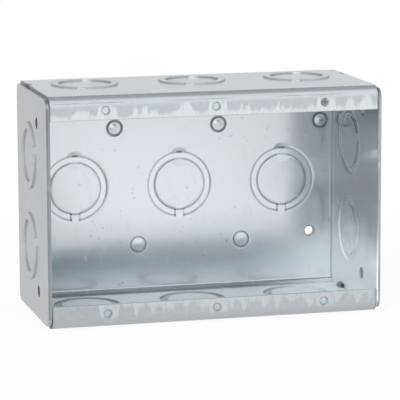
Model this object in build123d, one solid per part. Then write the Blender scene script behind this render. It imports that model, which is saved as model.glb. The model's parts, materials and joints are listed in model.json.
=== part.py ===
"""Three-gang masonry wiring box in galvanised sheet steel.

A folded channel makes the back, the top, the bottom and the two device flanges.
Two flat end plates close it, held by small weld tacks in the inner corners.
Round knockouts are half sheared in every wall and hold on by their ties.

The box stands on the ring crests of its bottom knockouts. The origin is the middle of its footprint,
+X runs along the box, +Y from the open front to the back, and +Z is up. All sizes are in millimetres.
"""
import os
from math import cos, radians, sin

from build123d import *

# Devices that the box takes
gang_count = 3
gang_pitch = 46.04
screw_spacing = 83.34
screw_hole_radius = 1.45
screw_lead_in = 0.3

# Folded channel
screw_to_wall = 5.96
screw_to_lip = 3.8
box_depth = 63.5
sheet = 1.6
front_fold_radius = 3.2
back_fold_radius = 2.0
lip_round = 0.35

# End plates
plate = 1.6
plate_inset = 1.1
plate_front_radius = 4.8
plate_back_radius = 3.5
plate_edge_round = 0.3

# Concentric knockouts
ring_outer_radius = 13.9
ring_inner_radius = 11.1
ring_lift = 0.6
tie_width = 3.8
shear_line_width = 0.25
shear_line_depth = 0.5
pry_dent_radius = 4.2
pry_dent_depth = 0.35
pry_dent_overlap = 2.0
panel_knockout_from_back = 23.2
panel_tie_turn = 18.0
end_knockout_from_back = 25.4
end_knockout_pitch = 38.1
end_tie_turn = 16.0

# Small pry-outs in the back
pryout_radius = 3.6
pryout_lift = 0.4
upper_groove_width = 0.9
upper_groove_depth = 0.9
upper_pryout_from_gang_edge = 5.6
upper_pryout_above_middle = 25.5
lower_groove_width = 0.4
lower_groove_depth = 0.7
lower_pryout_from_gang_edge = 4.5
lower_pryout_below_middle = 25.6
lower_tie_width = 1.5
lower_tie_turn = 15.0

# Tapped hole for the ground screw
ground_hole_radius = 1.95
ground_lead_in = 0.5
ground_from_end = 10.3
ground_below_middle = 23.5

# Nail holes in the end plates
nail_hole_radius = 2.35
nail_hole_from_front = 20.0
nail_hole_from_wall = 12.7

# Weld tacks in the inner corners
weld_leg = 2.0
weld_length = 8.0
weld_from_back = 17.0

# Sizes and places that follow from the driving ones
channel_length = gang_count * gang_pitch
box_height = screw_spacing + 2 * screw_to_wall
mouth_height = screw_spacing - 2 * screw_to_lip
inner_depth = box_depth - 2 * sheet
inner_height = box_height - 2 * sheet
front_y = -(box_depth + ring_lift) / 2
middle_y = front_y + box_depth / 2
back_y = front_y + box_depth
bottom_z = ring_lift
middle_z = bottom_z + box_height / 2
end_x = channel_length / 2
gang_centres = [(gang - (gang_count - 1) / 2) * gang_pitch for gang in range(gang_count)]
both_sides = (-1, 1)


def band(inner, outer, base, top):
    """A flat ring about the local Z axis, between two heights."""
    return extrude(Plane.XY.offset(base) * (Circle(outer) - Circle(inner)), top - base)


def bridge(inner, outer, width, thickness):
    """A block along the local X axis, reaching past both radii, that keeps a ring's metal in place."""
    length = outer - inner + 2 * thickness
    return Pos((inner + outer) / 2, 0, 0) * Box(length, width, 4 * thickness)


def through_hole(radius, lead_in, thickness):
    """A round hole down from the local XY plane, with a conical lead-in at its mouth."""
    bore = Pos(0, 0, -thickness / 2) * Cylinder(radius, 2 * thickness)
    mouth = Pos(0, 0, -lead_in / 2) * Cone(radius, radius + lead_in, lead_in)
    return bore + mouth


def knockout(place, thickness):
    """The metal that one knockout adds outside its wall, and the cuts that it makes in the wall.

    place lies on the wall's outer face: its Z points out of the box and its X towards the tie.
    The ring between the two circles is pushed out of the box, apart from the tie, which stays level.
    A sheared line round the disc parts it from the tie, and a bridge opposite the tie holds the disc.
    """
    tie = bridge(ring_inner_radius, ring_outer_radius, tie_width, thickness)
    ring = band(ring_inner_radius, ring_outer_radius, 0, ring_lift) - tie
    recess = band(ring_inner_radius, ring_outer_radius, -thickness, ring_lift - thickness) - tie
    line_radius = ring_inner_radius - shear_line_width
    disc_bridge = Rot(0, 0, 180) * bridge(line_radius, ring_inner_radius, tie_width, thickness)
    line = band(line_radius, ring_inner_radius, -thickness, shear_line_depth - thickness) - disc_bridge
    return place * ring, [place * recess, place * line]


def pry_dent(place):
    """A shallow dent in the wall's inner face, over the knockout's edge opposite its tie."""
    ball_radius = (pry_dent_radius ** 2 + pry_dent_depth ** 2) / (2 * pry_dent_depth)
    centre_x = pry_dent_overlap - ring_outer_radius
    centre_z = pry_dent_depth - sheet - ball_radius
    return place * Pos(centre_x, 0, centre_z) * Sphere(ball_radius)


def pryout(place, groove_width, groove_depth):
    """A small round pry-out: a pad raised outside the back, and the groove round it inside."""
    pad = extrude(Circle(pryout_radius), pryout_lift)
    groove = band(pryout_radius - groove_width, pryout_radius, -sheet, groove_depth - sheet)
    return place * pad, place * groove


def back_place(x, z, towards):
    """A plane on the outer face of the back, whose X points the given way."""
    return Plane(origin=(x, back_y, z), x_dir=towards, z_dir=(0, 1, 0))


def panel_place(x, side):
    """A plane for a knockout on the outer face of the top (side 1) or the bottom (side -1)."""
    turn = radians(panel_tie_turn)
    origin = (x, back_y - panel_knockout_from_back, middle_z + side * box_height / 2)
    return Plane(origin=origin, x_dir=(-side * sin(turn), -cos(turn), 0), z_dir=(0, 0, side))


def rounded_outline(depth, height, front_radius, back_radius):
    """A rectangle with its X from the front to the back, and one radius at each end."""
    outline = Rectangle(depth, height)
    outline = fillet(outline.vertices().group_by(Axis.X)[0], front_radius)
    return fillet(outline.vertices().group_by(Axis.X)[-1], back_radius)


def folded_blank():
    """The plain channel: a rounded C section with its mouth to the front."""
    outside = rounded_outline(box_depth, box_height, front_fold_radius + sheet, back_fold_radius + sheet)
    inside = rounded_outline(inner_depth, inner_height, front_fold_radius, back_fold_radius)
    mouth = Pos(-box_depth / 2, 0) * Rectangle(4 * sheet, mouth_height)
    section = Pos(middle_y, middle_z) * (outside - inside - mouth)
    blank = extrude(Plane.YZ * section, end_x, both=True)
    lips = [edge for edge in blank.edges().filter_by(Axis.X)
            if abs(abs(edge.center().Z - middle_z) - mouth_height / 2) < lip_round]
    return fillet(lips, lip_round)


def box_channel():
    """The folded channel with its knockouts, pry-outs and tapped holes."""
    raised = []
    cuts = []
    for x in gang_centres:
        back = back_place(x, middle_z, (0, 0, -1))
        for place in (back, panel_place(x, 1), panel_place(x, -1)):
            ring, ring_cuts = knockout(place, sheet)
            raised.append(ring)
            cuts.extend(ring_cuts)
        cuts.append(pry_dent(back))

        upper_x = x + gang_pitch / 2 - upper_pryout_from_gang_edge
        upper = back_place(upper_x, middle_z + upper_pryout_above_middle, (0, 0, 1))
        pad, groove = pryout(upper, upper_groove_width, upper_groove_depth)
        raised.append(pad)
        cuts.append(groove)

        lower_x = x - gang_pitch / 2 + lower_pryout_from_gang_edge
        turn = radians(lower_tie_turn)
        lower = back_place(lower_x, middle_z - lower_pryout_below_middle, (-sin(turn), 0, cos(turn)))
        pad, groove = pryout(lower, lower_groove_width, lower_groove_depth)
        tie = bridge(pryout_radius - lower_groove_width, pryout_radius, lower_tie_width, sheet)
        raised.append(pad)
        cuts.append(groove - lower * tie)

        for side in both_sides:
            screw = Plane(origin=(x, front_y, middle_z + side * screw_spacing / 2), z_dir=(0, -1, 0))
            cuts.append(screw * through_hole(screw_hole_radius, screw_lead_in, sheet))

    ground_at = (end_x - ground_from_end, back_y - sheet, middle_z - ground_below_middle)
    ground = Plane(origin=ground_at, z_dir=(0, -1, 0))
    cuts.append(ground * through_hole(ground_hole_radius, ground_lead_in, sheet))
    return folded_blank() + raised - cuts


def end_plate(side):
    """The flat plate that closes one end: side -1 is the left end and 1 the right.

    It is flush with the channel at the front, and a little smaller on the other three sides.
    """
    plate_depth = box_depth - plate_inset
    plate_height = box_height - 2 * plate_inset
    outline = rounded_outline(plate_depth, plate_height, plate_front_radius, plate_back_radius)
    outline = Pos(middle_y - plate_inset / 2, middle_z) * outline
    blank = extrude(Plane.YZ.offset(side * end_x) * outline, side * plate)
    outer_face = blank.faces().sort_by(Axis.X)[min(0, side)]
    blank = fillet(outer_face.outer_wire().edges(), plate_edge_round)

    raised = []
    cuts = []
    turn = radians(end_tie_turn)
    outer_x = side * (end_x + plate)
    for height in both_sides:
        centre = (outer_x, back_y - end_knockout_from_back, middle_z + height * end_knockout_pitch / 2)
        place = Plane(origin=centre, x_dir=(0, -cos(turn), sin(turn)), z_dir=(side, 0, 0))
        ring, ring_cuts = knockout(place, plate)
        raised.append(ring)
        cuts.extend(ring_cuts)
        nail_z = middle_z + height * (box_height / 2 - nail_hole_from_wall)
        nail = Plane(origin=(outer_x, front_y + nail_hole_from_front, nail_z), z_dir=(side, 0, 0))
        cuts.append(nail * Cylinder(nail_hole_radius, 4 * plate))
    return blank + raised - cuts


def weld_tack(side, height):
    """A rounded fillet of weld in the corner between an end plate and the top or bottom panel."""
    straight = weld_length - 2 * weld_leg
    bead = Rot(90, 0, 0) * Cylinder(weld_leg, straight)
    for end in both_sides:
        bead += Pos(0, end * straight / 2, 0) * Sphere(weld_leg)
    corner = Pos(-side * weld_leg, 0, -height * weld_leg) * Box(2 * weld_leg, 2 * weld_length, 2 * weld_leg)
    seam_z = middle_z + height * (box_height / 2 - sheet)
    return Pos(side * end_x, back_y - weld_from_back, seam_z) * (bead & corner)


os.makedirs("parts", exist_ok=True)
export_step(box_channel(), "parts/box_channel.step")
export_step(end_plate(-1), "parts/left_end_plate.step")
export_step(end_plate(1), "parts/right_end_plate.step")
tacks = [weld_tack(side, height) for side in both_sides for height in both_sides]
export_step(Compound(children=tacks), "parts/corner_welds.step")
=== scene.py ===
"""Looks of a three-gang masonry wiring box: galvanised sheet, smeared flanges, weld beads and the stage.

Shader sizes are in millimetres of the part's own frame: +X along the box, +Y from the open front to the
back, +Z up. A rise is a height above the middle of the box.
"""

import json
from math import cos, pi, radians, sin

import bmesh
import bpy
from mathutils import Matrix, Vector, noise


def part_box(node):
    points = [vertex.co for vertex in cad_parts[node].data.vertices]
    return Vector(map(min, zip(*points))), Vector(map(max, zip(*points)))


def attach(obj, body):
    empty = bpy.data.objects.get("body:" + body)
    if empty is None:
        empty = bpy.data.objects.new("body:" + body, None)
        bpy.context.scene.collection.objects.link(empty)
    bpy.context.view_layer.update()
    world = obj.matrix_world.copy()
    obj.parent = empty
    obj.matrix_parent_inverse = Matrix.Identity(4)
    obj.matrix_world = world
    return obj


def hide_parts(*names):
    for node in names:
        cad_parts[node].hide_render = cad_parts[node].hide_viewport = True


bl_info = {
    "name": "Masonry wiring box",
    "version": (1, 0, 0),
    "blender": (4, 5, 0),
    "location": "View3D > Sidebar > Wiring box",
    "description": "Dresses a folded sheet-steel wiring box in galvanised finishes and sets its stage",
    "category": "Object",
}

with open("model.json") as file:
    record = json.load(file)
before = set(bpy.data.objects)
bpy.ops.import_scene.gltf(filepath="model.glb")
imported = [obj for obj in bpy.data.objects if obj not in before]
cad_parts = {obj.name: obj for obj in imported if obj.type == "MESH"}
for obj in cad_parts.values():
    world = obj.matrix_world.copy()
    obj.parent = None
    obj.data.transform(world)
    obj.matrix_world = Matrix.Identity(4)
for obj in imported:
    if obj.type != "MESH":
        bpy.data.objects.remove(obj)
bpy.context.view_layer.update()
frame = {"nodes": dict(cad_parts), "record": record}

# Places and sizes that come from the frame, in millimetres
MM = 1000.0
mounts = {mount["name"]: mount for mount in frame["record"]["mounts"]}


def place_of(name):
    """Where a mount is, in millimetres."""
    return Vector(mounts[name]["pos_m"]) * MM


channel_low, channel_high = (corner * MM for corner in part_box("box_channel"))
screws = place_of("middle_device_screws")
screw_rise = mounts["middle_device_screws"]["dims"]["spacing_y_mm"] / 2
gang_pitch = place_of("right_device_screws").x
middle_z = screws.z
front_y = channel_low.y
sheet = 2 * (screws.y - front_y)
back_y = place_of("back_knockout_middle").y
top_rise = place_of("top_knockout_middle").z - middle_z
seam_x = channel_high.x
panel_ring_y = place_of("top_knockout_middle").y
end_ring = place_of("right_end_knockout_upper")
disc_radius = mounts["back_knockout_middle"]["dims"]["r_mm"]
ground_hole = place_of("ground_screw_hole")
ground_radius = mounts["ground_screw_hole"]["dims"]["r_mm"]
nail_holes = place_of("right_end_nail_holes")
nail_rise = mounts["right_end_nail_holes"]["dims"]["spacing_y_mm"] / 2

# Zones of the shaders, in millimetres. A pair is where a soft edge starts and ends. A triple is the middle
# of a band, its reach to each side and the width of its soft edges. A single value is a shift.
# The walls: the channel's top and bottom, its back and the back's inner face, and the plates' inner faces
PANEL_RISE = (top_rise - 2 * sheet, top_rise - 1.5 * sheet)
BACK_Y = (back_y - 2 * sheet, back_y - 1.8 * sheet)
INNER_BACK_Y = (back_y - 0.6 * sheet, back_y - 0.4 * sheet)
PLATE_INNER_X = (seam_x + 0.5, seam_x + 0.9)
MIDDLE = (-1, 1)

# Painted light and shade on the back: a painted blue-grey reflection along its foot, painted shade in the
# crease under it, a painted shade patch, a painted shade on one dome and painted light low at the right
FOOT_TOP_RISE = (-30, -21)
FOOT_FADE_RISE = (-50, -32)
FOOT_SINK_X = (-62, -25)
FOOT_SINK = 3
FOOT_DARK_X = (-50, -10)
CREASE_RISE = (-45.8, 0.9, 0.4)
CREASE_FRONT_Y = (22, 26)
CREASE_BACK_Y = (29.8, 30.1)
SHADE_PATCH_X = (44, 56)
SHADE_PATCH_RISE = (-14, 8, 8)
SHADE_DOME_X = (55, 58)
PAINTED_LIGHT_X = (25, 66)
PAINTED_LIGHT_RISE = (-28, -12)
PAINTED_LIGHT_RAGGED = 10

# At the channel's ends: the dark seam with its painted shade, the painted highlight in the inner corner and
# the cut end
SEAM_X = (seam_x - 0.7, seam_x - 0.2)
CORNER_HIGHLIGHT_X = (seam_x - 0.8, 0.15, 0.4)
CORNER_HIGHLIGHT_RISE = (-26, -14)
CUT_END_X = (seam_x - 0.15, seam_x - 0.05)

# On the inner face of the right plate: painted shade above, painted light low down and a painted highlight by
# the back
SHADE_TOP_RISE = (25, 42)
SHADE_MIDDLE_RISE = (-4, 10, 12)
SHADE_Y = (front_y + 10, front_y + 40)
PLATE_PAINTED_LIGHT_RISE = (-26, 0)
BACK_HIGHLIGHT_Y = (back_y - sheet - 3, 0.8, 0.8)

# On the front edges of the plates, with painted shade on the left plate's edge and the right plate's upper
# front corner, and round their nail holes
ARRIS_X = (seam_x + 0.6, seam_x + 1.0)
CUT_Y = (front_y + 0.1, front_y + 0.4)
CUT_DARK_RISE = (15, 40)
FRONT_CORNER_RISE = (42, 44)
FRONT_CORNER_Y = (front_y + 2, front_y + 4)
NAIL_EDGE = (2.4, 2.6)

# On the flanges, behind the lower one and on the floor of the box
COMB_X = (22, 11, 2)
TEETH_X = (14, 52, 3)
GREY_END_X = (-55, 0)
GREY_END_PAST_FLAT = 3
WIPED_PAST_FLAT = (0.4, 2.6)
SMEAR_EDGE = (-1.4, 0.9)
SMEAR_RAGGED = 4
SMEAR_WANDER = 14
SCREW_PATCH_X = 0.5
SCREW_PATCH_REACH = (4.6, 3.6)
SCREW_EDGE = (1.6, 0.15, 0.4)
LOWER_FOLD_DEPTH = 5
LOWER_FOLD_HEIGHT = 6
BEHIND_LIP_RISE = (-38, -36)
BEHIND_LIP_Y = (front_y + 2 * sheet, 1.3 * sheet, 0.2 * sheet)
FLOOR_RISE = (sheet - top_rise, 0.7, 0.2)

# Large pale smears on the top flange: middle along the box, half width, and height as a share of the flat
TOP_SMEARS = (
    (-56, 6, 0.8), (-34, 2, 0.9), (-30, 2, 1.0), (-26, 3, 0.6),
    (-13, 5, 1.1), (40, 3, 0.5), (57, 3, 1.0), (64, 4, 1.1),
)

# Lines at a known radius or side, as their reach and the width of their soft edges
SHEAR_LINE = (0.1, 0.6)
TIE_LINE = (0.2, 0.5)
TIE_SPAN = (1.5, 0.5)
STEP_LINE = (0.05, 0.2)
RING_HIGHLIGHT = (0.6, 0.5)
RING_RECESS_SHADE = (1.2, 0.4)
DENT_LINE = (0.6, 0.9)
NICK_LINE = (0.3, 0.4)
LOWER_GROOVE = (0.3, 0.4)
LOWER_RIM = (0.1, 0.4)

# Other sizes of the marks, in millimetres
TIE_SOFT = 0.1
THUMB_EDGE = (1.2, 2.0)
THUMB_FROM_RING = 0.4
DENT_SIDE = (2.2, 4.0)
DENT_PAST_RING = 1.2
NICK_SIDE = (0.8, 1.6)
NICK_PAST_RING = 0.1
UPPER_GROOVE_SOFT = 0.35
LOWER_RIM_PAST = 0.6
LOWER_MIDDLE_INSET = (1.4, 0.6)
GROUND_EDGE = (ground_radius + 0.3, ground_radius + 0.8)

# Scorching: how far its edge wanders, and how fast it cools along a seam and away from it
HEAT_RAGGED = 3
HEAT_ALONG = 0.28
HEAT_AWAY = 0.75
HEAT_SOFT = 1.4

# How much rougher and less mirror-like a coat leaves the zinc
SHEARED = {"rougher": 0.1, "duller": 0.3}
CUT = {"rougher": 0.2, "duller": 0.3}
SCORCHED = {"rougher": 0.15, "duller": 0.3}
PAINTED_LIGHT_FINISH = {"rougher": 0.03, "duller": 0.7}
DUSTY = {"rougher": 0.3, "duller": 0.3}

# Dark areas that the metal sees on the floor, in millimetres: a mat, a painted shadow of the box, a band in
# it and the right
MAT_NEAR_X = (-26, 6)
MAT_FAR_X = (-120, -90)
MAT_Y = (-190, -110)
SHADOW_Y = (-140, -60)
BAND_Y = (-98, 12, 14)
BAND_X = (-60, 0)
RIGHT_X = (20, 300)
RIGHT_Y = (-900, -500)

# The floor itself: where it turns plain white, in millimetres, and its radius and drop in metres
WHITE_FLOOR_RADIUS = (100, 300)
FLOOR_RADIUS_M = 4.0
FLOOR_DROP_M = 0.0002

# Directions in the surround, as parts of a unit vector
CEILING_UP = (0.42, 0.6)
CEILING_BACK = (-0.35, 0.0)
DIM_BACK = (-0.2, 0.4)
DIM_UP = (0.4, 0.9)

WHITE = (1.0, 1.0, 1.0)
BLACK = (0.0, 0.0, 0.0)


class FinishProperties(bpy.types.PropertyGroup):
    """Colours and gloss of the galvanised sheet."""
    sheet_colour: bpy.props.FloatVectorProperty(
        name="Sheet", description="Bright zinc of the folded channel", subtype="COLOR",
        default=(0.745, 0.79, 0.83))
    # Painted light: the brightest tone of the back, also used for painted highlights
    bright_colour: bpy.props.FloatVectorProperty(
        name="Bright back", description="Brightest zinc of the back", subtype="COLOR",
        default=(0.88, 0.92, 0.96))
    # Painted reflection: the blue-grey tone along the foot of the back
    foot_colour: bpy.props.FloatVectorProperty(
        name="Foot of the back", description="Blue-grey zinc along the foot of the back", subtype="COLOR",
        default=(0.43, 0.52, 0.57))
    # Zinc of the end plates, darkened in part as painted shade
    plate_colour: bpy.props.FloatVectorProperty(
        name="End plates", description="Duller zinc of the end plates", subtype="COLOR",
        default=(0.455, 0.485, 0.51))
    wiped_colour: bpy.props.FloatVectorProperty(
        name="Wiped zinc", description="Zinc wiped grey on the flanges", subtype="COLOR",
        default=(0.5, 0.525, 0.55))
    # Real pale smears and scuffs, and also the painted highlight on knockout steps
    smear_colour: bpy.props.FloatVectorProperty(
        name="Smears", description="Pale smears left on the flanges", subtype="COLOR",
        default=(0.74, 0.78, 0.795))
    # Dark sheared metal, cut ends and seams, also used for painted shade
    shear_colour: bpy.props.FloatVectorProperty(
        name="Sheared edges", description="Dark metal in sheared lines and seams", subtype="COLOR",
        default=(0.13, 0.14, 0.15))
    scorch_colour: bpy.props.FloatVectorProperty(
        name="Scorch", description="Burnt zinc at the welds", subtype="COLOR", default=(0.07, 0.072, 0.075))
    # Painted light low in the right corner, and also pale dust on the floor of the box
    frost_colour: bpy.props.FloatVectorProperty(
        name="Frosted zinc", description="Pale matt zinc low in the right corner, and dust", subtype="COLOR",
        default=(0.92, 0.97, 1.0))
    metallic: bpy.props.FloatProperty(
        name="Metallic", description="Share of mirror-like zinc on the walls", subtype="FACTOR", default=0.73)
    roughness: bpy.props.FloatProperty(
        name="Roughness", description="Roughness of the bright walls", subtype="FACTOR", default=0.17)


class MarkProperties(bpy.types.PropertyGroup):
    """Sizes of the marks on the sheet."""
    ring_width: bpy.props.FloatProperty(
        name="Ring width", description="Width of a knockout's outer ring", unit="LENGTH", default=0.0028)
    tie_width: bpy.props.FloatProperty(
        name="Tie width", description="Width of the tie that holds a ring", unit="LENGTH", default=0.0038)
    panel_tie_turn: bpy.props.FloatProperty(
        name="Panel tie turn", description="Turn of the ties on the top and bottom", subtype="ANGLE",
        default=radians(18))
    end_tie_turn: bpy.props.FloatProperty(
        name="End tie turn", description="Turn of the ties on the end plates", subtype="ANGLE",
        default=radians(16))
    shoulder_width: bpy.props.FloatProperty(
        name="Shoulder width", description="Width of the rounded edge beside a sheared line", unit="LENGTH",
        default=0.0016)
    shoulder_drop: bpy.props.FloatProperty(
        name="Shoulder drop", description="Height lost in the rounded edge beside a sheared line",
        unit="LENGTH", default=0.00012)
    pryout_radius: bpy.props.FloatProperty(
        name="Pry-out radius", description="Radius of the small pry-outs", unit="LENGTH", default=0.0036)
    groove_width: bpy.props.FloatProperty(
        name="Groove width", description="Width of the groove round an upper pry-out", unit="LENGTH",
        default=0.0009)
    upper_pryout: bpy.props.FloatVectorProperty(
        name="Upper pry-out", description="Place of the upper pry-out from the middle of its gang", size=2,
        unit="LENGTH", default=(0.01742, 0.0255))
    lower_pryout: bpy.props.FloatVectorProperty(
        name="Lower pry-out", description="Place of the lower pry-out from the middle of its gang", size=2,
        unit="LENGTH", default=(-0.01852, -0.0256))
    lip_from_screw: bpy.props.FloatProperty(
        name="Lip", description="From a device screw to the lip of its flange", unit="LENGTH", default=0.0038)
    flange_height: bpy.props.FloatProperty(
        name="Flange", description="Height of a flange's flat from its lip to the fold", unit="LENGTH",
        default=0.00496)
    weld_from_back: bpy.props.FloatProperty(
        name="Weld place", description="From the back to the middle of a weld", unit="LENGTH", default=0.017)
    weld_length: bpy.props.FloatProperty(
        name="Weld length", description="Length of a weld bead", unit="LENGTH", default=0.008)
    weld_leg: bpy.props.FloatProperty(
        name="Weld leg", description="Reach of a weld bead along each wall", unit="LENGTH", default=0.002)
    tooth_pitch: bpy.props.FloatProperty(
        name="Smear teeth", description="Middle spacing of the pale teeth on the lower flange", unit="LENGTH",
        default=0.0066)


class StageProperties(bpy.types.PropertyGroup):
    """Camera, lamps and floor."""
    azimuth: bpy.props.FloatProperty(
        name="Azimuth", description="Turn of the view from straight ahead", subtype="ANGLE",
        default=radians(14.779))
    elevation: bpy.props.FloatProperty(
        name="Elevation", description="How far the camera looks down", subtype="ANGLE",
        default=radians(9.722))
    roll: bpy.props.FloatProperty(
        name="Roll", description="Turn of the picture", subtype="ANGLE", default=radians(-0.218))
    distance: bpy.props.FloatProperty(
        name="Distance", description="From the camera to the aim", unit="LENGTH", default=1.01756)
    aim: bpy.props.FloatVectorProperty(
        name="Aim", description="Point in the middle of the picture", subtype="TRANSLATION", unit="LENGTH",
        default=(-0.006578, -0.029775, 0.051276))
    lens: bpy.props.FloatProperty(
        name="Lens", description="Focal length in millimetres", default=223.96)
    surround: bpy.props.FloatProperty(
        name="Surround", description="Level of the light from all round", subtype="FACTOR", default=0.48)
    walls: bpy.props.FloatProperty(
        name="Studio walls", description="Level of the walls that the metal shows", subtype="FACTOR",
        default=0.87)
    wall_colour: bpy.props.FloatVectorProperty(
        name="Wall colour", description="Cool white of the studio walls", subtype="COLOR",
        default=(0.965, 0.985, 1.0))
    ceiling: bpy.props.FloatProperty(
        name="Studio ceiling", description="Level of the ceiling behind, as the metal shows it",
        subtype="FACTOR", default=0.18)
    key_power: bpy.props.FloatProperty(
        name="Key lamp", description="Power of the lamp above the front left", unit="POWER", default=9.0)
    key_place: bpy.props.FloatVectorProperty(
        name="Key lamp place", description="Middle of the key lamp", subtype="TRANSLATION", unit="LENGTH",
        default=(-0.55, -0.9, 0.95))
    key_size: bpy.props.FloatProperty(
        name="Key lamp size", description="Diameter of the key lamp", unit="LENGTH", default=0.7)
    fill_power: bpy.props.FloatProperty(
        name="Fill lamp", description="Power of the lamp at the front right", unit="POWER", default=4.0)
    fill_place: bpy.props.FloatVectorProperty(
        name="Fill lamp place", description="Middle of the fill lamp", subtype="TRANSLATION", unit="LENGTH",
        default=(0.7, -0.9, 0.35))
    fill_size: bpy.props.FloatProperty(
        name="Fill lamp size", description="Diameter of the fill lamp", unit="LENGTH", default=0.8)
    window_power: bpy.props.FloatProperty(
        name="Window", description="Power of the soft lamp beside the camera that the metal shows",
        unit="POWER", default=1.9)
    window_place: bpy.props.FloatVectorProperty(
        name="Window place", description="Middle of the window lamp", subtype="TRANSLATION", unit="LENGTH",
        default=(-0.36, -1.22, 0.26))
    window_size: bpy.props.FloatProperty(
        name="Window size", description="Diameter of the window lamp", unit="LENGTH", default=0.6)
    floor_colour: bpy.props.FloatVectorProperty(
        name="Floor", description="Plain pale floor", subtype="COLOR", default=(0.92, 0.92, 0.92))
    floor_white: bpy.props.FloatProperty(
        name="Floor white", description="Share of plain white in the floor's look", subtype="FACTOR",
        default=0.93)


class Wire:
    """One output socket in a shader. Arithmetic on wires adds Math nodes."""

    def __init__(self, graph, socket):
        self.graph = graph
        self.socket = socket

    def math(self, operation, *values):
        """A Math node on the values."""
        return self.graph.node("ShaderNodeMath", {"operation": operation}, *values)

    def __add__(self, other):
        return self.math("ADD", self, other)

    def __radd__(self, other):
        return self.math("ADD", other, self)

    def __sub__(self, other):
        return self.math("SUBTRACT", self, other)

    def __rsub__(self, other):
        return self.math("SUBTRACT", other, self)

    def __mul__(self, other):
        return self.math("MULTIPLY", self, other)

    def __rmul__(self, other):
        return self.math("MULTIPLY", other, self)

    def __abs__(self):
        return self.math("ABSOLUTE", self)

    def __or__(self, other):
        return self.math("MAXIMUM", self, other)

    def sign(self):
        return self.math("SIGN", self)

    def hypot(self, other):
        return self.math("SQRT", self * self + other * other)

    def wrapped(self, pitch):
        """Signed distance from the nearest multiple of a pitch."""
        return self.math("WRAP", self, pitch / 2, -pitch / 2)

    def rise(self, low, high):
        """0 below low, 1 above high, and smooth between them."""
        return self.graph.node("ShaderNodeMapRange", {"interpolation_type": "SMOOTHSTEP"}, self, low, high)

    def ramp(self, low, high):
        """0 at low, 1 at high, and straight between them."""
        return self.graph.node("ShaderNodeMapRange", {}, self, low, high)

    def fall(self, low, high):
        """1 below low, 0 above high, and smooth between them."""
        return 1 - self.rise(low, high)

    def near(self, value, reach, soft):
        """1 within reach of a value, falling to 0 over a soft edge."""
        return abs(self - value).fall(reach, reach + soft)


class Graph:
    """The node tree of a material or a world, filled by expressions."""

    def __init__(self, owner):
        owner.use_nodes = True
        self.owner = owner
        self.tree = owner.node_tree
        self.tree.nodes.clear()

    def node(self, kind, settings, *values, output=0, **named):
        """A node of a kind, with its settings, its sockets in order or by name, and one output as a wire."""
        made = self.tree.nodes.new(kind)
        for setting, value in settings.items():
            setattr(made, setting, value)
        pairs = list(enumerate(values)) + [(name.replace("_", " "), value) for name, value in named.items()]
        for key, value in pairs:
            if isinstance(value, Wire):
                self.tree.links.new(value.socket, made.inputs[key])
            else:
                made.inputs[key].default_value = value
        return Wire(self, made.outputs[output]) if made.outputs else None

    def parts(self, vector):
        """The three parts of a vector."""
        split = self.node("ShaderNodeSeparateXYZ", {}, vector).socket.node
        return [Wire(self, socket) for socket in split.outputs]

    def place(self):
        """The surface point in millimetres."""
        metres = self.node("ShaderNodeTexCoord", {}, output="Object")
        return self.node("ShaderNodeVectorMath", {"operation": "SCALE"}, metres, Scale=MM)

    def rays(self, *names):
        """1 for the kinds of ray that are named."""
        paths = self.node("ShaderNodeLightPath", {}).socket.node.outputs
        wires = [Wire(self, paths[name]) for name in names]
        found = wires[0]
        for wire in wires[1:]:
            found = found | wire
        return found

    def noise(self, point, scale, stretch=(1.0, 1.0, 1.0), detail=2.0):
        """Cloudy noise from 0 to 1, scale in cells per millimetre along an axis that isn't stretched."""
        scales = [scale * part for part in stretch]
        cells = self.node("ShaderNodeVectorMath", {"operation": "MULTIPLY"}, point, scales)
        return self.node("ShaderNodeTexNoise", {}, output="Fac", Vector=cells, Scale=1.0, Detail=detail)

    def crystals(self, point, scale):
        """A random tone from 0 to 1 for each crystal of zinc."""
        cells = self.node("ShaderNodeTexVoronoi", {}, output="Color", Vector=point, Scale=scale)
        return self.parts(cells)[0]

    def blend(self, amount, first, second):
        """A colour between two others."""
        mix = self.node("ShaderNodeMix", {"data_type": "RGBA"}, output=2, Factor=amount)
        sockets = mix.socket.node.inputs
        for socket, colour in ((sockets[6], first), (sockets[7], second)):
            if isinstance(colour, Wire):
                self.tree.links.new(colour.socket, socket)
            else:
                socket.default_value = (*colour, 1.0)
        return mix

    def surface(self, colour, roughness, metallic, height):
        """Ends the tree in a metal surface with a bump, its height in millimetres."""
        bump = self.node("ShaderNodeBump", {}, Strength=1.0, Distance=1 / MM, Height=height)
        shader = self.node("ShaderNodeBsdfPrincipled", {}, Base_Color=colour, Roughness=roughness,
                           Metallic=metallic, Normal=bump)
        self.node("ShaderNodeOutputMaterial", {}, shader)
        return self.owner


def shade(colour, share):
    """A colour with a share of its brightness."""
    return [part * share for part in colour]


def distance(here, there):
    """From a point on a wall, in the wall's own two axes, to a fixed place."""
    return (here[0] - there[0]).hypot(here[1] - there[1])


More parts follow.
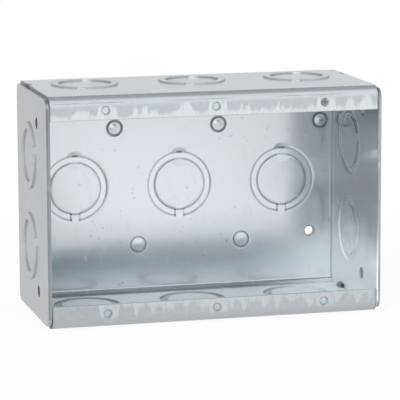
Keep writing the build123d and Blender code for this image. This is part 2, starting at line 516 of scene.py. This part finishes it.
class Zinc:
    """Zinc on sheet steel, built up layer by layer: colour, roughness, mirror share and height."""

    def __init__(self, name, finish, marks, colour):
        self.graph = Graph(bpy.data.materials.new(name))
        self.finish = finish
        self.marks = marks
        self.point = self.graph.place()
        self.x, self.y, height = self.graph.parts(self.point)
        self.rise = height - middle_z
        self.ring_outer = disc_radius + marks.ring_width * MM
        self.ring_middle = (disc_radius + self.ring_outer) / 2
        cloud = self.cloudy(0.03, detail=3.0)
        grain = self.cloudy(1.3, (1.0, 0.05, 0.05))
        spangle = self.graph.crystals(self.point, 0.16)
        mottle = self.cloudy(0.8, detail=3.0)
        tone = cloud * 0.4 + grain * 0.2 + spangle * 0.2 + mottle * 0.2
        self.colour = self.graph.blend(tone, shade(colour, 1.05), shade(colour, 0.95))
        self.roughness = finish.roughness - 0.03 + cloud * 0.06 + grain * 0.03
        self.metallic = finish.metallic
        self.height = cloud * 0.05 + grain * 0.001

    def cloudy(self, scale, stretch=(1.0, 1.0, 1.0), detail=2.0):
        """Cloudy noise over the sheet."""
        return self.graph.noise(self.point, scale, stretch, detail)

    def coat(self, amount, colour, rougher=0.0, duller=0.0):
        """Lays a colour over what is there, with a rougher and less mirror-like finish."""
        self.colour = self.graph.blend(amount, self.colour, colour)
        if rougher:
            self.roughness = self.roughness + amount * rougher
        if duller:
            self.metallic = self.metallic - amount * duller

    def darken(self, amount):
        """Lays a dark tone over zinc that stays as glossy as it was, for specks and scratches and for painted
        shade.
        """
        self.coat(amount, self.finish.shear_colour)

    def brighten(self, amount):
        """Lays painted light, in the brightest tone of the back, over what is there."""
        self.coat(amount, self.finish.bright_colour)

    def shear(self, amount):
        """Lays the dark metal of a sheared edge over what is there; along steps and seams it is partly
        painted shade.
        """
        self.coat(amount, self.finish.shear_colour, **SHEARED)

    def specks(self):
        """Sparse dark specks and a few faint scuffs."""
        specks = self.cloudy(0.45, detail=1.0).rise(0.72, 0.78)
        self.darken(specks * 0.25)
        scuffs = self.cloudy(0.35, (1.0, 1.0, 0.35), 1.0).rise(0.66, 0.74)
        self.coat(scuffs * 0.35, self.finish.smear_colour, rougher=0.15)

    def knockout(self, along, across, strength, bright, ties):
        """Sheared lines that are partly painted shade, a painted highlight on the steps and on the tie, and
        rounded shoulders of a knockout.

        along runs from the knockout's middle towards its tie. strength is how dark the lines are, bright is
        how strong the painted highlight on the ring's steps is, and ties is how dark the tie's own two lines
        are beside the others. Gives the distance from the knockout's middle.
        """
        inner = disc_radius
        outer = self.ring_outer
        half_tie = self.marks.tie_width * MM / 2
        width = self.marks.shoulder_width * MM
        radius = along.hypot(across)
        side = abs(across)
        in_line = side.fall(half_tie - TIE_SOFT, half_tie + TIE_SOFT)
        tie = along.rise(0, 1) * in_line
        bridge = along.fall(-1, 0) * in_line

        # Sheared lines: partly dark cut metal, partly painted shade of their steps
        outer_line = radius.near(outer, *SHEAR_LINE) * (1 - tie)
        inner_line = radius.near(inner, *SHEAR_LINE) * (1 - bridge * 0.5)
        across_ring = radius.near(self.ring_middle, *TIE_SPAN)
        tie_line = side.near(half_tie, *TIE_LINE) * along.rise(0, 1) * across_ring
        self.shear((outer_line * 0.8 | inner_line | tie_line * ties) * strength)
        # Painted highlight: pale steps of the ring
        steps = radius.near(outer, *STEP_LINE) | radius.near(inner, *STEP_LINE)
        self.coat(steps * bright, self.finish.smear_colour, rougher=0.5, duller=0.5)
        # Painted highlight on the tie
        thumb_highlight = (along - outer + THUMB_FROM_RING).hypot(across).fall(*THUMB_EDGE)
        self.brighten(thumb_highlight * strength * 1.6)
        edge = radius.ramp(outer + width, outer) * radius.ramp(inner - width, inner) * (1 - tie)
        self.height = self.height - edge * edge * (self.marks.shoulder_drop * MM)
        return radius

    def scorch(self, from_seam, amount, spread):
        """Burnt zinc over the welds, given the distance from their seam."""
        weld_y = back_y - self.marks.weld_from_back * MM
        ragged = self.cloudy(0.35, detail=3.0) * HEAT_RAGGED
        heat = ragged + abs(self.y - weld_y) * HEAT_ALONG + from_seam * HEAT_AWAY
        self.coat(amount * heat.fall(spread, spread + HEAT_SOFT), self.finish.scorch_colour, **SCORCHED)

    def finished(self):
        """The material."""
        return self.graph.surface(self.colour, self.roughness, self.metallic, self.height)


class ChannelZinc(Zinc):
    """Zinc of the folded channel: walls with sheared marks and painted light and shade, and flanges wiped
    grey and smeared.
    """

    def __init__(self, finish, marks):
        super().__init__("galvanised_channel", finish, marks, finish.sheet_colour)
        x, y, rise = self.x, self.y, self.rise
        self.gang_x = x.wrapped(gang_pitch)
        self.below = rise.fall(*MIDDLE)
        self.at_panel = abs(rise).rise(*PANEL_RISE)
        self.at_back = y.rise(*BACK_Y) * (1 - self.at_panel)
        self.within = self.at_back * y.fall(*INNER_BACK_Y)
        self.crease = rise.near(*CREASE_RISE) * y.rise(*CREASE_FRONT_Y) * y.fall(*CREASE_BACK_Y)
        self.lip = screw_rise - marks.lip_from_screw * MM
        self.flat = marks.flange_height * MM
        self.reach = abs(rise) - self.lip
        depth = self.below * LOWER_FOLD_DEPTH
        self.front = y.fall(front_y + 0.3 * sheet + depth, front_y + 0.6 * sheet + depth)
        self.walls()
        self.specks()
        self.radius = self.knockouts()
        self.pryouts()
        self.flanges()
        self.dust()
        self.seams()

    def walls(self):
        """Painted light over the back's upper part, a painted blue-grey reflection along its foot, painted
        shade in the crease and a painted shade patch at the right.
        """
        x, rise, within = self.x, self.rise, self.within
        foot = (rise + x.fall(*FOOT_SINK_X) * FOOT_SINK).fall(*FOOT_TOP_RISE)
        grey = 0.36 + x.fall(*FOOT_DARK_X) * 0.14
        # Painted light over the upper part of the back
        self.brighten(within * (1 - foot) * 0.6)
        # Painted reflection: blue-grey tone along the foot of the back
        self.coat(within * foot * rise.rise(*FOOT_FADE_RISE) * grey, self.finish.foot_colour)
        # Painted shade in the crease between the back and the floor of the box
        self.darken(self.crease * 0.45)
        # Painted shade: a darker patch on the right of the back
        self.darken(within * x.rise(*SHADE_PATCH_X) * rise.near(*SHADE_PATCH_RISE) * 0.3)

    def knockouts(self):
        """Knockouts of the back or of the top and bottom, with a painted highlight on the back's rings, and
        on the back painted shade in the pry dents and a dark nick.
        """
        at_panel, at_back = self.at_panel, self.at_back
        turn = self.marks.panel_tie_turn
        from_ring = self.y - panel_ring_y
        lean = self.rise.sign() * self.gang_x
        panel_along = lean * -sin(turn) - from_ring * cos(turn)
        panel_across = lean * cos(turn) - from_ring * sin(turn)
        along = panel_along * at_panel - self.rise * (1 - at_panel)
        across = panel_across * at_panel + self.gang_x * (1 - at_panel)
        lines = at_back * 0.5 | at_panel * (0.55 + self.below * 0.4)
        radius = self.knockout(along, across, lines, at_panel * (1 - self.below) * 0.2, 1.6 - at_panel * 1.5)

        # Painted highlight on the rings of the back
        self.brighten(self.within * radius.near(self.ring_middle, *RING_HIGHLIGHT) * 0.8)
        pried = at_back * along.fall(-1, 0)
        dent_line = radius.near(self.ring_outer + DENT_PAST_RING, *DENT_LINE)
        nick_line = radius.near(self.ring_outer + NICK_PAST_RING, *NICK_LINE)
        # Painted shade in the pry dents, and a dark nick beside each
        dent_shade = pried * abs(across).fall(*DENT_SIDE) * dent_line
        nick = pried * abs(across).fall(*NICK_SIDE) * nick_line
        self.coat(dent_shade * 0.15, self.finish.shear_colour, rougher=0.1)
        self.coat(nick * 0.7, self.finish.shear_colour, rougher=0.1)
        return radius

    def pryouts(self):
        """Small pry-outs with domed middles and dark grooves that are partly painted shade, painted
        highlights round and inside the lower ones, painted shade on one upper dome, and the dark edge of the
        ground screw hole.
        """
        at_back, within = self.at_back, self.within
        size = self.marks.pryout_radius * MM
        groove = self.marks.groove_width * MM
        upper = distance((self.gang_x, self.rise), [part * MM for part in self.marks.upper_pryout])
        lower = distance((self.gang_x, self.rise), [part * MM for part in self.marks.lower_pryout])
        ground = distance((self.x, self.rise), (ground_hole.x, ground_hole.z - middle_z))
        dome = at_back * upper.fall(size - groove, size)
        lower_middle = lower.fall(*(size - inset for inset in LOWER_MIDDLE_INSET))
        self.shear(at_back * upper.near(size - groove / 2, groove / 2, UPPER_GROOVE_SOFT) * 0.65)
        self.shear(at_back * lower.near(size - LOWER_GROOVE[0], *LOWER_GROOVE) * 0.45)
        # Painted highlights round and inside the lower pry-outs
        self.brighten(within * lower.near(size + LOWER_RIM_PAST, *LOWER_RIM) * 0.7)
        self.brighten(within * lower_middle * 0.5)
        self.shear(at_back * ground.fall(*GROUND_EDGE) * 0.6)
        # Painted shade on the rightmost upper dome
        self.darken(dome * self.x.rise(*SHADE_DOME_X) * 0.15)
        swell = upper.fall(0, size - groove) * 0.35 + lower.fall(0, size) * 0.12
        self.height = self.height + at_back * swell
        self.roughness = self.roughness + dome * 0.07

    def flanges(self):
        """Flanges wiped grey down to the bottom fold, with pale smears and fine scratches."""
        front, below, reach, flat = self.front, self.below, self.reach, self.flat
        fold = below * LOWER_FOLD_HEIGHT
        start, end = (flat + past for past in WIPED_PAST_FLAT)
        wiped = reach.fall(start + fold, end + fold) * (0.7 + self.cloudy(0.5) * 0.6)
        grey_end = below * self.x.fall(*GREY_END_X) * reach.fall(flat, flat + GREY_END_PAST_FLAT)
        scratches = self.cloudy(1.6, (1.0, 0.0, 0.3), 3.0).rise(0.56, 0.68) * reach.fall(flat - 1, flat + 1)
        screw = self.gang_x.hypot(abs(self.rise) - screw_rise)
        self.coat(front * wiped, self.finish.wiped_colour, rougher=0.15, duller=0.1)
        self.darken(front * grey_end * 0.13)
        self.coat(front * self.smears() * (0.75 - below * 0.35), self.finish.smear_colour, rougher=0.05)
        self.darken(front * scratches * (0.12 + below * 0.1))
        self.darken(front * screw.near(*SCREW_EDGE) * 0.35)

    def smears(self):
        """Pale smears that reach from the lips: teeth, large patches, and one patch at each screw."""
        x, flat = self.x, self.flat
        pitch = self.marks.tooth_pitch * MM
        tall = self.cloudy(0.14, (1.0, 0.0, 0.0)).rise(0.3, 0.65) * 0.9 + 0.3
        ragged = x + self.cloudy(0.6, (1.0, 0.0, 1.0), 3.0) * SMEAR_RAGGED - SMEAR_RAGGED / 2
        wander = ragged + self.cloudy(0.11, (1.0, 0.0, 0.2)) * SMEAR_WANDER
        streak = self.cloudy(1.3, (1.0, 0.0, 0.12))
        comb = (1 - abs(wander.wrapped(pitch / 2)) * (4 / pitch)) * x.near(*COMB_X)
        upper_edge = comb * tall | tall * 0.4
        for middle, half_width, height in TOP_SMEARS:
            upper_edge = upper_edge | abs(ragged - middle).ramp(half_width, half_width / 3) * height
        lower_edge = (1.1 - abs(wander.wrapped(pitch)) * (2 / pitch)) * x.near(*TEETH_X) * tall
        patch = abs(self.gang_x - SCREW_PATCH_X).ramp(*SCREW_PATCH_REACH) * 1.1
        edge = (upper_edge + self.below * (lower_edge - upper_edge) | patch) * (0.6 + streak * 0.8) + 0.05
        return (self.reach - edge * flat).fall(*SMEAR_EDGE) * (0.5 + streak)

    def dust(self):
        """Dust on the floor of the box and behind the lower flange, painted shade in the rings of the bottom
        knockouts, and painted light low in the right corner.
        """
        y, rise, reach, flat = self.y, self.rise, self.reach, self.flat
        bend = top_rise - self.lip - flat
        from_axis = (y - front_y - bend).hypot(reach - flat)
        at_fold = reach.rise(flat - 0.2, flat) * y.fall(front_y + bend, front_y + bend + 1)
        outer_fold = at_fold * from_axis.rise(bend - 0.6 * sheet, bend - 0.4 * sheet)
        behind_lip = rise.fall(*BEHIND_LIP_RISE) * y.near(*BEHIND_LIP_Y)
        dusty = (rise.near(*FLOOR_RISE) | behind_lip) * (1 - outer_fold)
        dust = (0.3 + self.cloudy(0.12) * 0.3) * (1 - self.crease)
        self.coat(dusty * dust, self.finish.frost_colour, **DUSTY)
        # Painted shade in the ring recesses of the bottom knockouts
        self.darken(dusty * self.radius.near(self.ring_middle, *RING_RECESS_SHADE) * 0.4)
        # Painted light low in the right corner, as pale matt zinc
        low = (rise + self.cloudy(0.06) * PAINTED_LIGHT_RAGGED).fall(*PAINTED_LIGHT_RISE)
        painted_light = (self.within | dusty) * self.x.rise(*PAINTED_LIGHT_X) * low
        self.coat(painted_light * 0.7, self.finish.frost_colour, **PAINTED_LIGHT_FINISH)

    def seams(self):
        """Dark cut ends, seams that are dark joints with painted shade low inside the box and on the lower
        flange, a painted highlight in the inner corners, and scorched zinc over the welds.
        """
        ends = abs(self.x)
        high = self.rise.rise(*CORNER_HIGHLIGHT_RISE)
        # Seams are dark joints, darkened further as painted shade low inside the box and on the lower flange
        dark = 0.3 + self.front * self.below * 0.4 + self.within * (0.25 - high * 0.5)
        # Painted highlight in the inner corners
        pale = self.within * high * ends.near(*CORNER_HIGHLIGHT_X)
        self.shear(ends.rise(*SEAM_X) * dark)
        self.coat(pale * 0.45, self.finish.bright_colour, duller=0.2)
        self.coat(ends.rise(*CUT_END_X) * 0.65, self.finish.shear_colour, **CUT)
        self.scorch(seam_x - ends, self.at_panel * 0.7, 2.2)


class PlateZinc(Zinc):
    """Zinc of the flat end plates: darker in part as painted shade, with sheared marks, dark cut edges with
    painted shade, painted light and shade on the right plate's inner face, and scorched seams.
    """

    def __init__(self, finish, marks):
        super().__init__("galvanised_plate", finish, marks, finish.plate_colour)
        self.left = self.x.fall(*MIDDLE)
        self.inside = abs(self.x).fall(*PLATE_INNER_X)
        self.specks()
        self.knockouts()
        self.inner_face()
        self.edges()
        self.scorch(top_rise - abs(self.rise), 0.6, 2.0)

    def knockouts(self):
        """One knockout above the middle and one below, both with their ties to the front."""
        turn = self.marks.end_tie_turn
        up = self.rise - self.rise.sign() * (end_ring.z - middle_z)
        from_ring = self.y - end_ring.y
        along = up * sin(turn) - from_ring * cos(turn)
        across = up * cos(turn) + from_ring * sin(turn)
        # Painted highlight on the knockout steps, stronger on the inner faces
        self.knockout(along, across, 0.12, self.inside * 0.3 + 0.6, 0.8)

    def inner_face(self):
        """The right plate's inner face: painted shade in its upper parts, painted light low down and a
        painted highlight by the back.
        """
        face = (1 - self.left) * self.inside
        # Painted shade over the upper parts of the right plate's inner face
        upper_shade = self.rise.rise(*SHADE_TOP_RISE) * 0.65 + self.rise.near(*SHADE_MIDDLE_RISE) * 0.25
        # Painted light low down on the right plate's inner face
        painted_light = (self.rise + self.cloudy(0.06) * PAINTED_LIGHT_RAGGED).fall(*PLATE_PAINTED_LIGHT_RISE)
        self.darken(face * self.y.fall(*SHADE_Y) * upper_shade)
        self.coat(face * painted_light * 0.95, self.finish.frost_colour, **PAINTED_LIGHT_FINISH)
        # Painted highlight in a band by the back
        self.brighten(face * self.y.near(*BACK_HIGHLIGHT_Y) * 0.2)

    def edges(self):
        """Dark nail holes, dark cut front edges with painted shade on the left plate's edge, and painted
        shade on the right plate's upper front corner.
        """
        rise, left = self.rise, self.left
        nail = distance((self.y, abs(rise)), (nail_holes.y, nail_rise))
        arris = abs(self.x).rise(*ARRIS_X)
        # Dark cut edges, with painted shade on the left plate's edge, stronger higher up
        cut = left * (arris * 0.25 + rise.rise(*CUT_DARK_RISE) * 0.2 + 0.25) + 0.1
        # Painted shade on the right plate's upper front corner
        corner = (1 - left) * abs(rise).rise(*FRONT_CORNER_RISE) * self.y.fall(*FRONT_CORNER_Y)
        self.shear(nail.fall(*NAIL_EDGE) * (0.8 - rise.rise(*MIDDLE) * (1 - left) * 0.4))
        self.coat(self.y.fall(*CUT_Y) * cut, self.finish.shear_colour, **CUT)
        self.coat(corner * 0.4, self.finish.shear_colour, rougher=0.1, duller=0.2)


def weld_steel(finish):
    """Dull weld metal, burnt dark in cloudy patches."""
    graph = Graph(bpy.data.materials.new("weld_steel"))
    cloud = graph.noise(graph.place(), 0.5, detail=3.0)
    colour = graph.blend(cloud.rise(0.35, 0.65), finish.scorch_colour, finish.wiped_colour)
    return graph.surface(colour, 0.35 + cloud * 0.25, 0.7, cloud * 0.3)


def floor_paper(stage):
    """White paper that takes the box's shadow, with dark areas that only the metal sees."""
    graph = Graph(bpy.data.materials.new("floor_paper"))
    x, y = graph.parts(graph.place())[:2]
    camera = graph.rays("Is Camera Ray")
    mirrored = graph.rays("Is Glossy Ray")
    mat = (x.fall(*MAT_NEAR_X) * 0.54 + x.fall(*MAT_FAR_X) * 0.46) * y.fall(*MAT_Y)
    # Painted shadow of the box, with a darker band, seen only by mirrored rays
    shadow = y.rise(*SHADOW_Y) * 0.2 + y.near(*BAND_Y) * x.rise(*BAND_X) * 0.45
    right = x.rise(*RIGHT_X) * y.rise(*RIGHT_Y) * 0.25
    look = graph.blend(mirrored * (mat + shadow + right), WHITE, BLACK)
    away = x.hypot(y).rise(*WHITE_FLOOR_RADIUS)
    share = stage.floor_white + away * (1 - stage.floor_white)
    paper = graph.node("ShaderNodeBsdfDiffuse", {}, Color=(*stage.floor_colour, 1.0))
    white = graph.node("ShaderNodeEmission", {}, Color=look, Strength=1.0)
    shader = graph.node("ShaderNodeMixShader", {}, camera * share | mirrored, paper, white)
    graph.node("ShaderNodeOutputMaterial", {}, shader)
    return graph.owner


def dress(node, material):
    """Puts one material on a piece of the frame."""
    slots = frame["nodes"][node].data.materials
    slots.clear()
    slots.append(material)


def add_object(name, data):
    """A new object in the scene."""
    made = bpy.data.objects.new(name, data)
    bpy.context.scene.collection.objects.link(made)
    return made


class BOX_OT_channel(bpy.types.Operator):
    """Galvanise the folded channel"""
    bl_idname = "wiring_box.channel"
    bl_label = "Galvanise the channel"

    def execute(self, context):
        scene = context.scene
        dress("box_channel", ChannelZinc(scene.box_finish, scene.box_marks).finished())
        return {"FINISHED"}


class BOX_OT_end_plates(bpy.types.Operator):
    """Galvanise the two end plates"""
    bl_idname = "wiring_box.end_plates"
    bl_label = "Galvanise the end plates"

    def execute(self, context):
        scene = context.scene
        material = PlateZinc(scene.box_finish, scene.box_marks).finished()
        for node in ("left_end_plate", "right_end_plate"):
            dress(node, material)
        return {"FINISHED"}


class BOX_OT_welds(bpy.types.Operator):
    """Lay rippled weld beads in the inner corners"""
    bl_idname = "wiring_box.welds"
    bl_label = "Lay the weld beads"

    def execute(self, context):
        scene = context.scene
        marks = scene.box_marks
        shape = bmesh.new()
        for side in (-1, 1):
            for height in (-1, 1):
                corner = Vector((side * seam_x, back_y - marks.weld_from_back * MM,
                                 middle_z + height * (top_rise - sheet))) / MM
                self.bead(shape, corner, side, height, marks.weld_length, marks.weld_leg)
        bmesh.ops.recalc_face_normals(shape, faces=shape.faces)
        mesh = bpy.data.meshes.new("weld_beads")
        shape.to_mesh(mesh)
        shape.free()
        mesh.shade_smooth()
        mesh.materials.append(weld_steel(scene.box_finish))
        beads = add_object("weld_beads", mesh)
        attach(beads, "root")
        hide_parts("corner_welds")
        return {"FINISHED"}

    def bead(self, shape, corner, side, height, length, leg):
        """One fillet of weld with scalloped ripples, running along Y in a corner of two walls."""
        sections = 40
        arc = 10
        ripples = 6
        ripple_depth = 0.14
        lump_depth = 0.12
        end_share = 0.02
        rows = []
        for step in range(sections + 1):
            run = 2 * step / sections - 1
            scallop = 1 - ripple_depth * abs(sin(pi * ripples * (run + 1) / 2))
            swell = (1 - abs(run) ** 3) ** 0.5 * scallop * leg + end_share * leg
            row = [shape.verts.new(corner + Vector((0, run * length / 2, 0)))]
            for turn in range(arc + 1):
                angle = pi / 2 * turn / arc
                spot = Vector((side * cos(angle), run * length / leg / 2, height * sin(angle)))
                lump = 1 + lump_depth * noise.noise(spot * 2 + Vector((side * 7, 0, height * 5)))
                away = Vector((-side * cos(angle), 0, -height * sin(angle))) * swell * min(lump, 1)
                row.append(shape.verts.new(corner + away + Vector((0, run * length / 2, 0))))
            rows.append(row)
        for first, second in zip(rows, rows[1:]):
            for index in range(arc + 2):
                following = (index + 1) % (arc + 2)
                shape.faces.new((first[index], first[following], second[following], second[index]))
        for row in (rows[0], rows[-1]):
            shape.faces.new(row)


def softbox(name, place, size, power, target, shown):
    """A large round soft lamp that faces a target, and whether the metal shows it."""
    lamp = bpy.data.lights.new(name, "AREA")
    lamp.shape = "DISK"
    lamp.size = size
    lamp.energy = power
    made = add_object(name, lamp)
    made.location = place
    made.rotation_euler = (Vector(target) - Vector(place)).to_track_quat("-Z", "Y").to_euler()
    made.visible_glossy = shown


class BOX_OT_stage(bpy.types.Operator):
    """Set the floor, the lamps, the white surround and the camera"""
    bl_idname = "wiring_box.stage"
    bl_label = "Set the stage"

    def execute(self, context):
        stage = context.scene.box_stage
        self.floor(stage)
        self.surround(context.scene, stage)
        softbox("key_lamp", stage.key_place, stage.key_size, stage.key_power, stage.aim, False)
        softbox("fill_lamp", stage.fill_place, stage.fill_size, stage.fill_power, stage.aim, False)
        softbox("window_lamp", stage.window_place, stage.window_size, stage.window_power, stage.aim, True)
        self.camera(context.scene, stage)
        return {"FINISHED"}

    def floor(self, stage):
        """A wide round floor, a hair below the box."""
        mesh = bpy.data.meshes.new("floor")
        disc = bmesh.new()
        bmesh.ops.create_circle(disc, cap_ends=True, segments=96, radius=FLOOR_RADIUS_M)
        disc.to_mesh(mesh)
        disc.free()
        mesh.materials.append(floor_paper(stage))
        made = add_object("floor", mesh)
        made.location.z = -FLOOR_DROP_M

    def surround(self, scene, stage):
        """Light from all round: white to the camera, and studio walls with a dark ceiling to the metal."""
        world = bpy.data.worlds.new("surround")
        graph = Graph(world)
        y, z = graph.parts(graph.node("ShaderNodeTexCoord", {}, output="Generated"))[1:]
        camera = graph.rays("Is Camera Ray", "Is Transmission Ray")
        mirrored = graph.rays("Is Glossy Ray")
        ceiling = z.rise(*CEILING_UP) * y.rise(*CEILING_BACK)
        shown = stage.walls - y.rise(*DIM_BACK) * 0.15 - z.rise(*DIM_UP) * 0.2
        shown = shown + ceiling * (stage.ceiling - shown)
        level = stage.surround + mirrored * (shown - stage.surround)
        level = level + camera * (1 - level)
        colour = graph.blend(mirrored, WHITE, stage.wall_colour)
        light = graph.node("ShaderNodeBackground", {}, Color=colour, Strength=level)
        graph.node("ShaderNodeOutputWorld", {}, light)
        scene.world = world

    def camera(self, scene, stage):
        """The view of the photograph."""
        camera = add_object("camera", bpy.data.cameras.new("camera"))
        camera.data.lens = stage.lens
        camera.data.sensor_width = 36.0
        camera.data.clip_end = 20.0
        level = cos(stage.elevation)
        forward = Vector((sin(stage.azimuth) * level, cos(stage.azimuth) * level, -sin(stage.elevation)))
        turned = forward.to_track_quat("-Z", "Y").to_matrix() @ Matrix.Rotation(stage.roll, 3, "Z")
        place = Vector(stage.aim) - forward * stage.distance
        camera.matrix_world = Matrix.Translation(place) @ turned.to_4x4()
        scene.camera = camera
        scene.view_settings.view_transform = "Standard"


class BOX_PT_panel(bpy.types.Panel):
    """The box's looks"""
    bl_idname = "BOX_PT_panel"
    bl_label = "Wiring box"
    bl_space_type = "VIEW_3D"
    bl_region_type = "UI"
    bl_category = "Wiring box"

    def draw(self, context):
        for operator in operators:
            self.layout.operator(operator.bl_idname)


operators = (BOX_OT_channel, BOX_OT_end_plates, BOX_OT_welds, BOX_OT_stage)
groups = {"box_finish": FinishProperties, "box_marks": MarkProperties, "box_stage": StageProperties}


def register():
    for group in groups.values():
        bpy.utils.register_class(group)
    for name, group in groups.items():
        setattr(bpy.types.Scene, name, bpy.props.PointerProperty(type=group))
    for operator in operators:
        bpy.utils.register_class(operator)
    bpy.utils.register_class(BOX_PT_panel)


def unregister():
    bpy.utils.unregister_class(BOX_PT_panel)
    for operator in reversed(operators):
        bpy.utils.unregister_class(operator)
    for name, group in groups.items():
        delattr(bpy.types.Scene, name)
        bpy.utils.unregister_class(group)


def main():
    register()
    bpy.ops.wiring_box.channel()
    bpy.ops.wiring_box.end_plates()
    bpy.ops.wiring_box.welds()
    bpy.ops.wiring_box.stage()


if __name__ == "__main__":
    main()
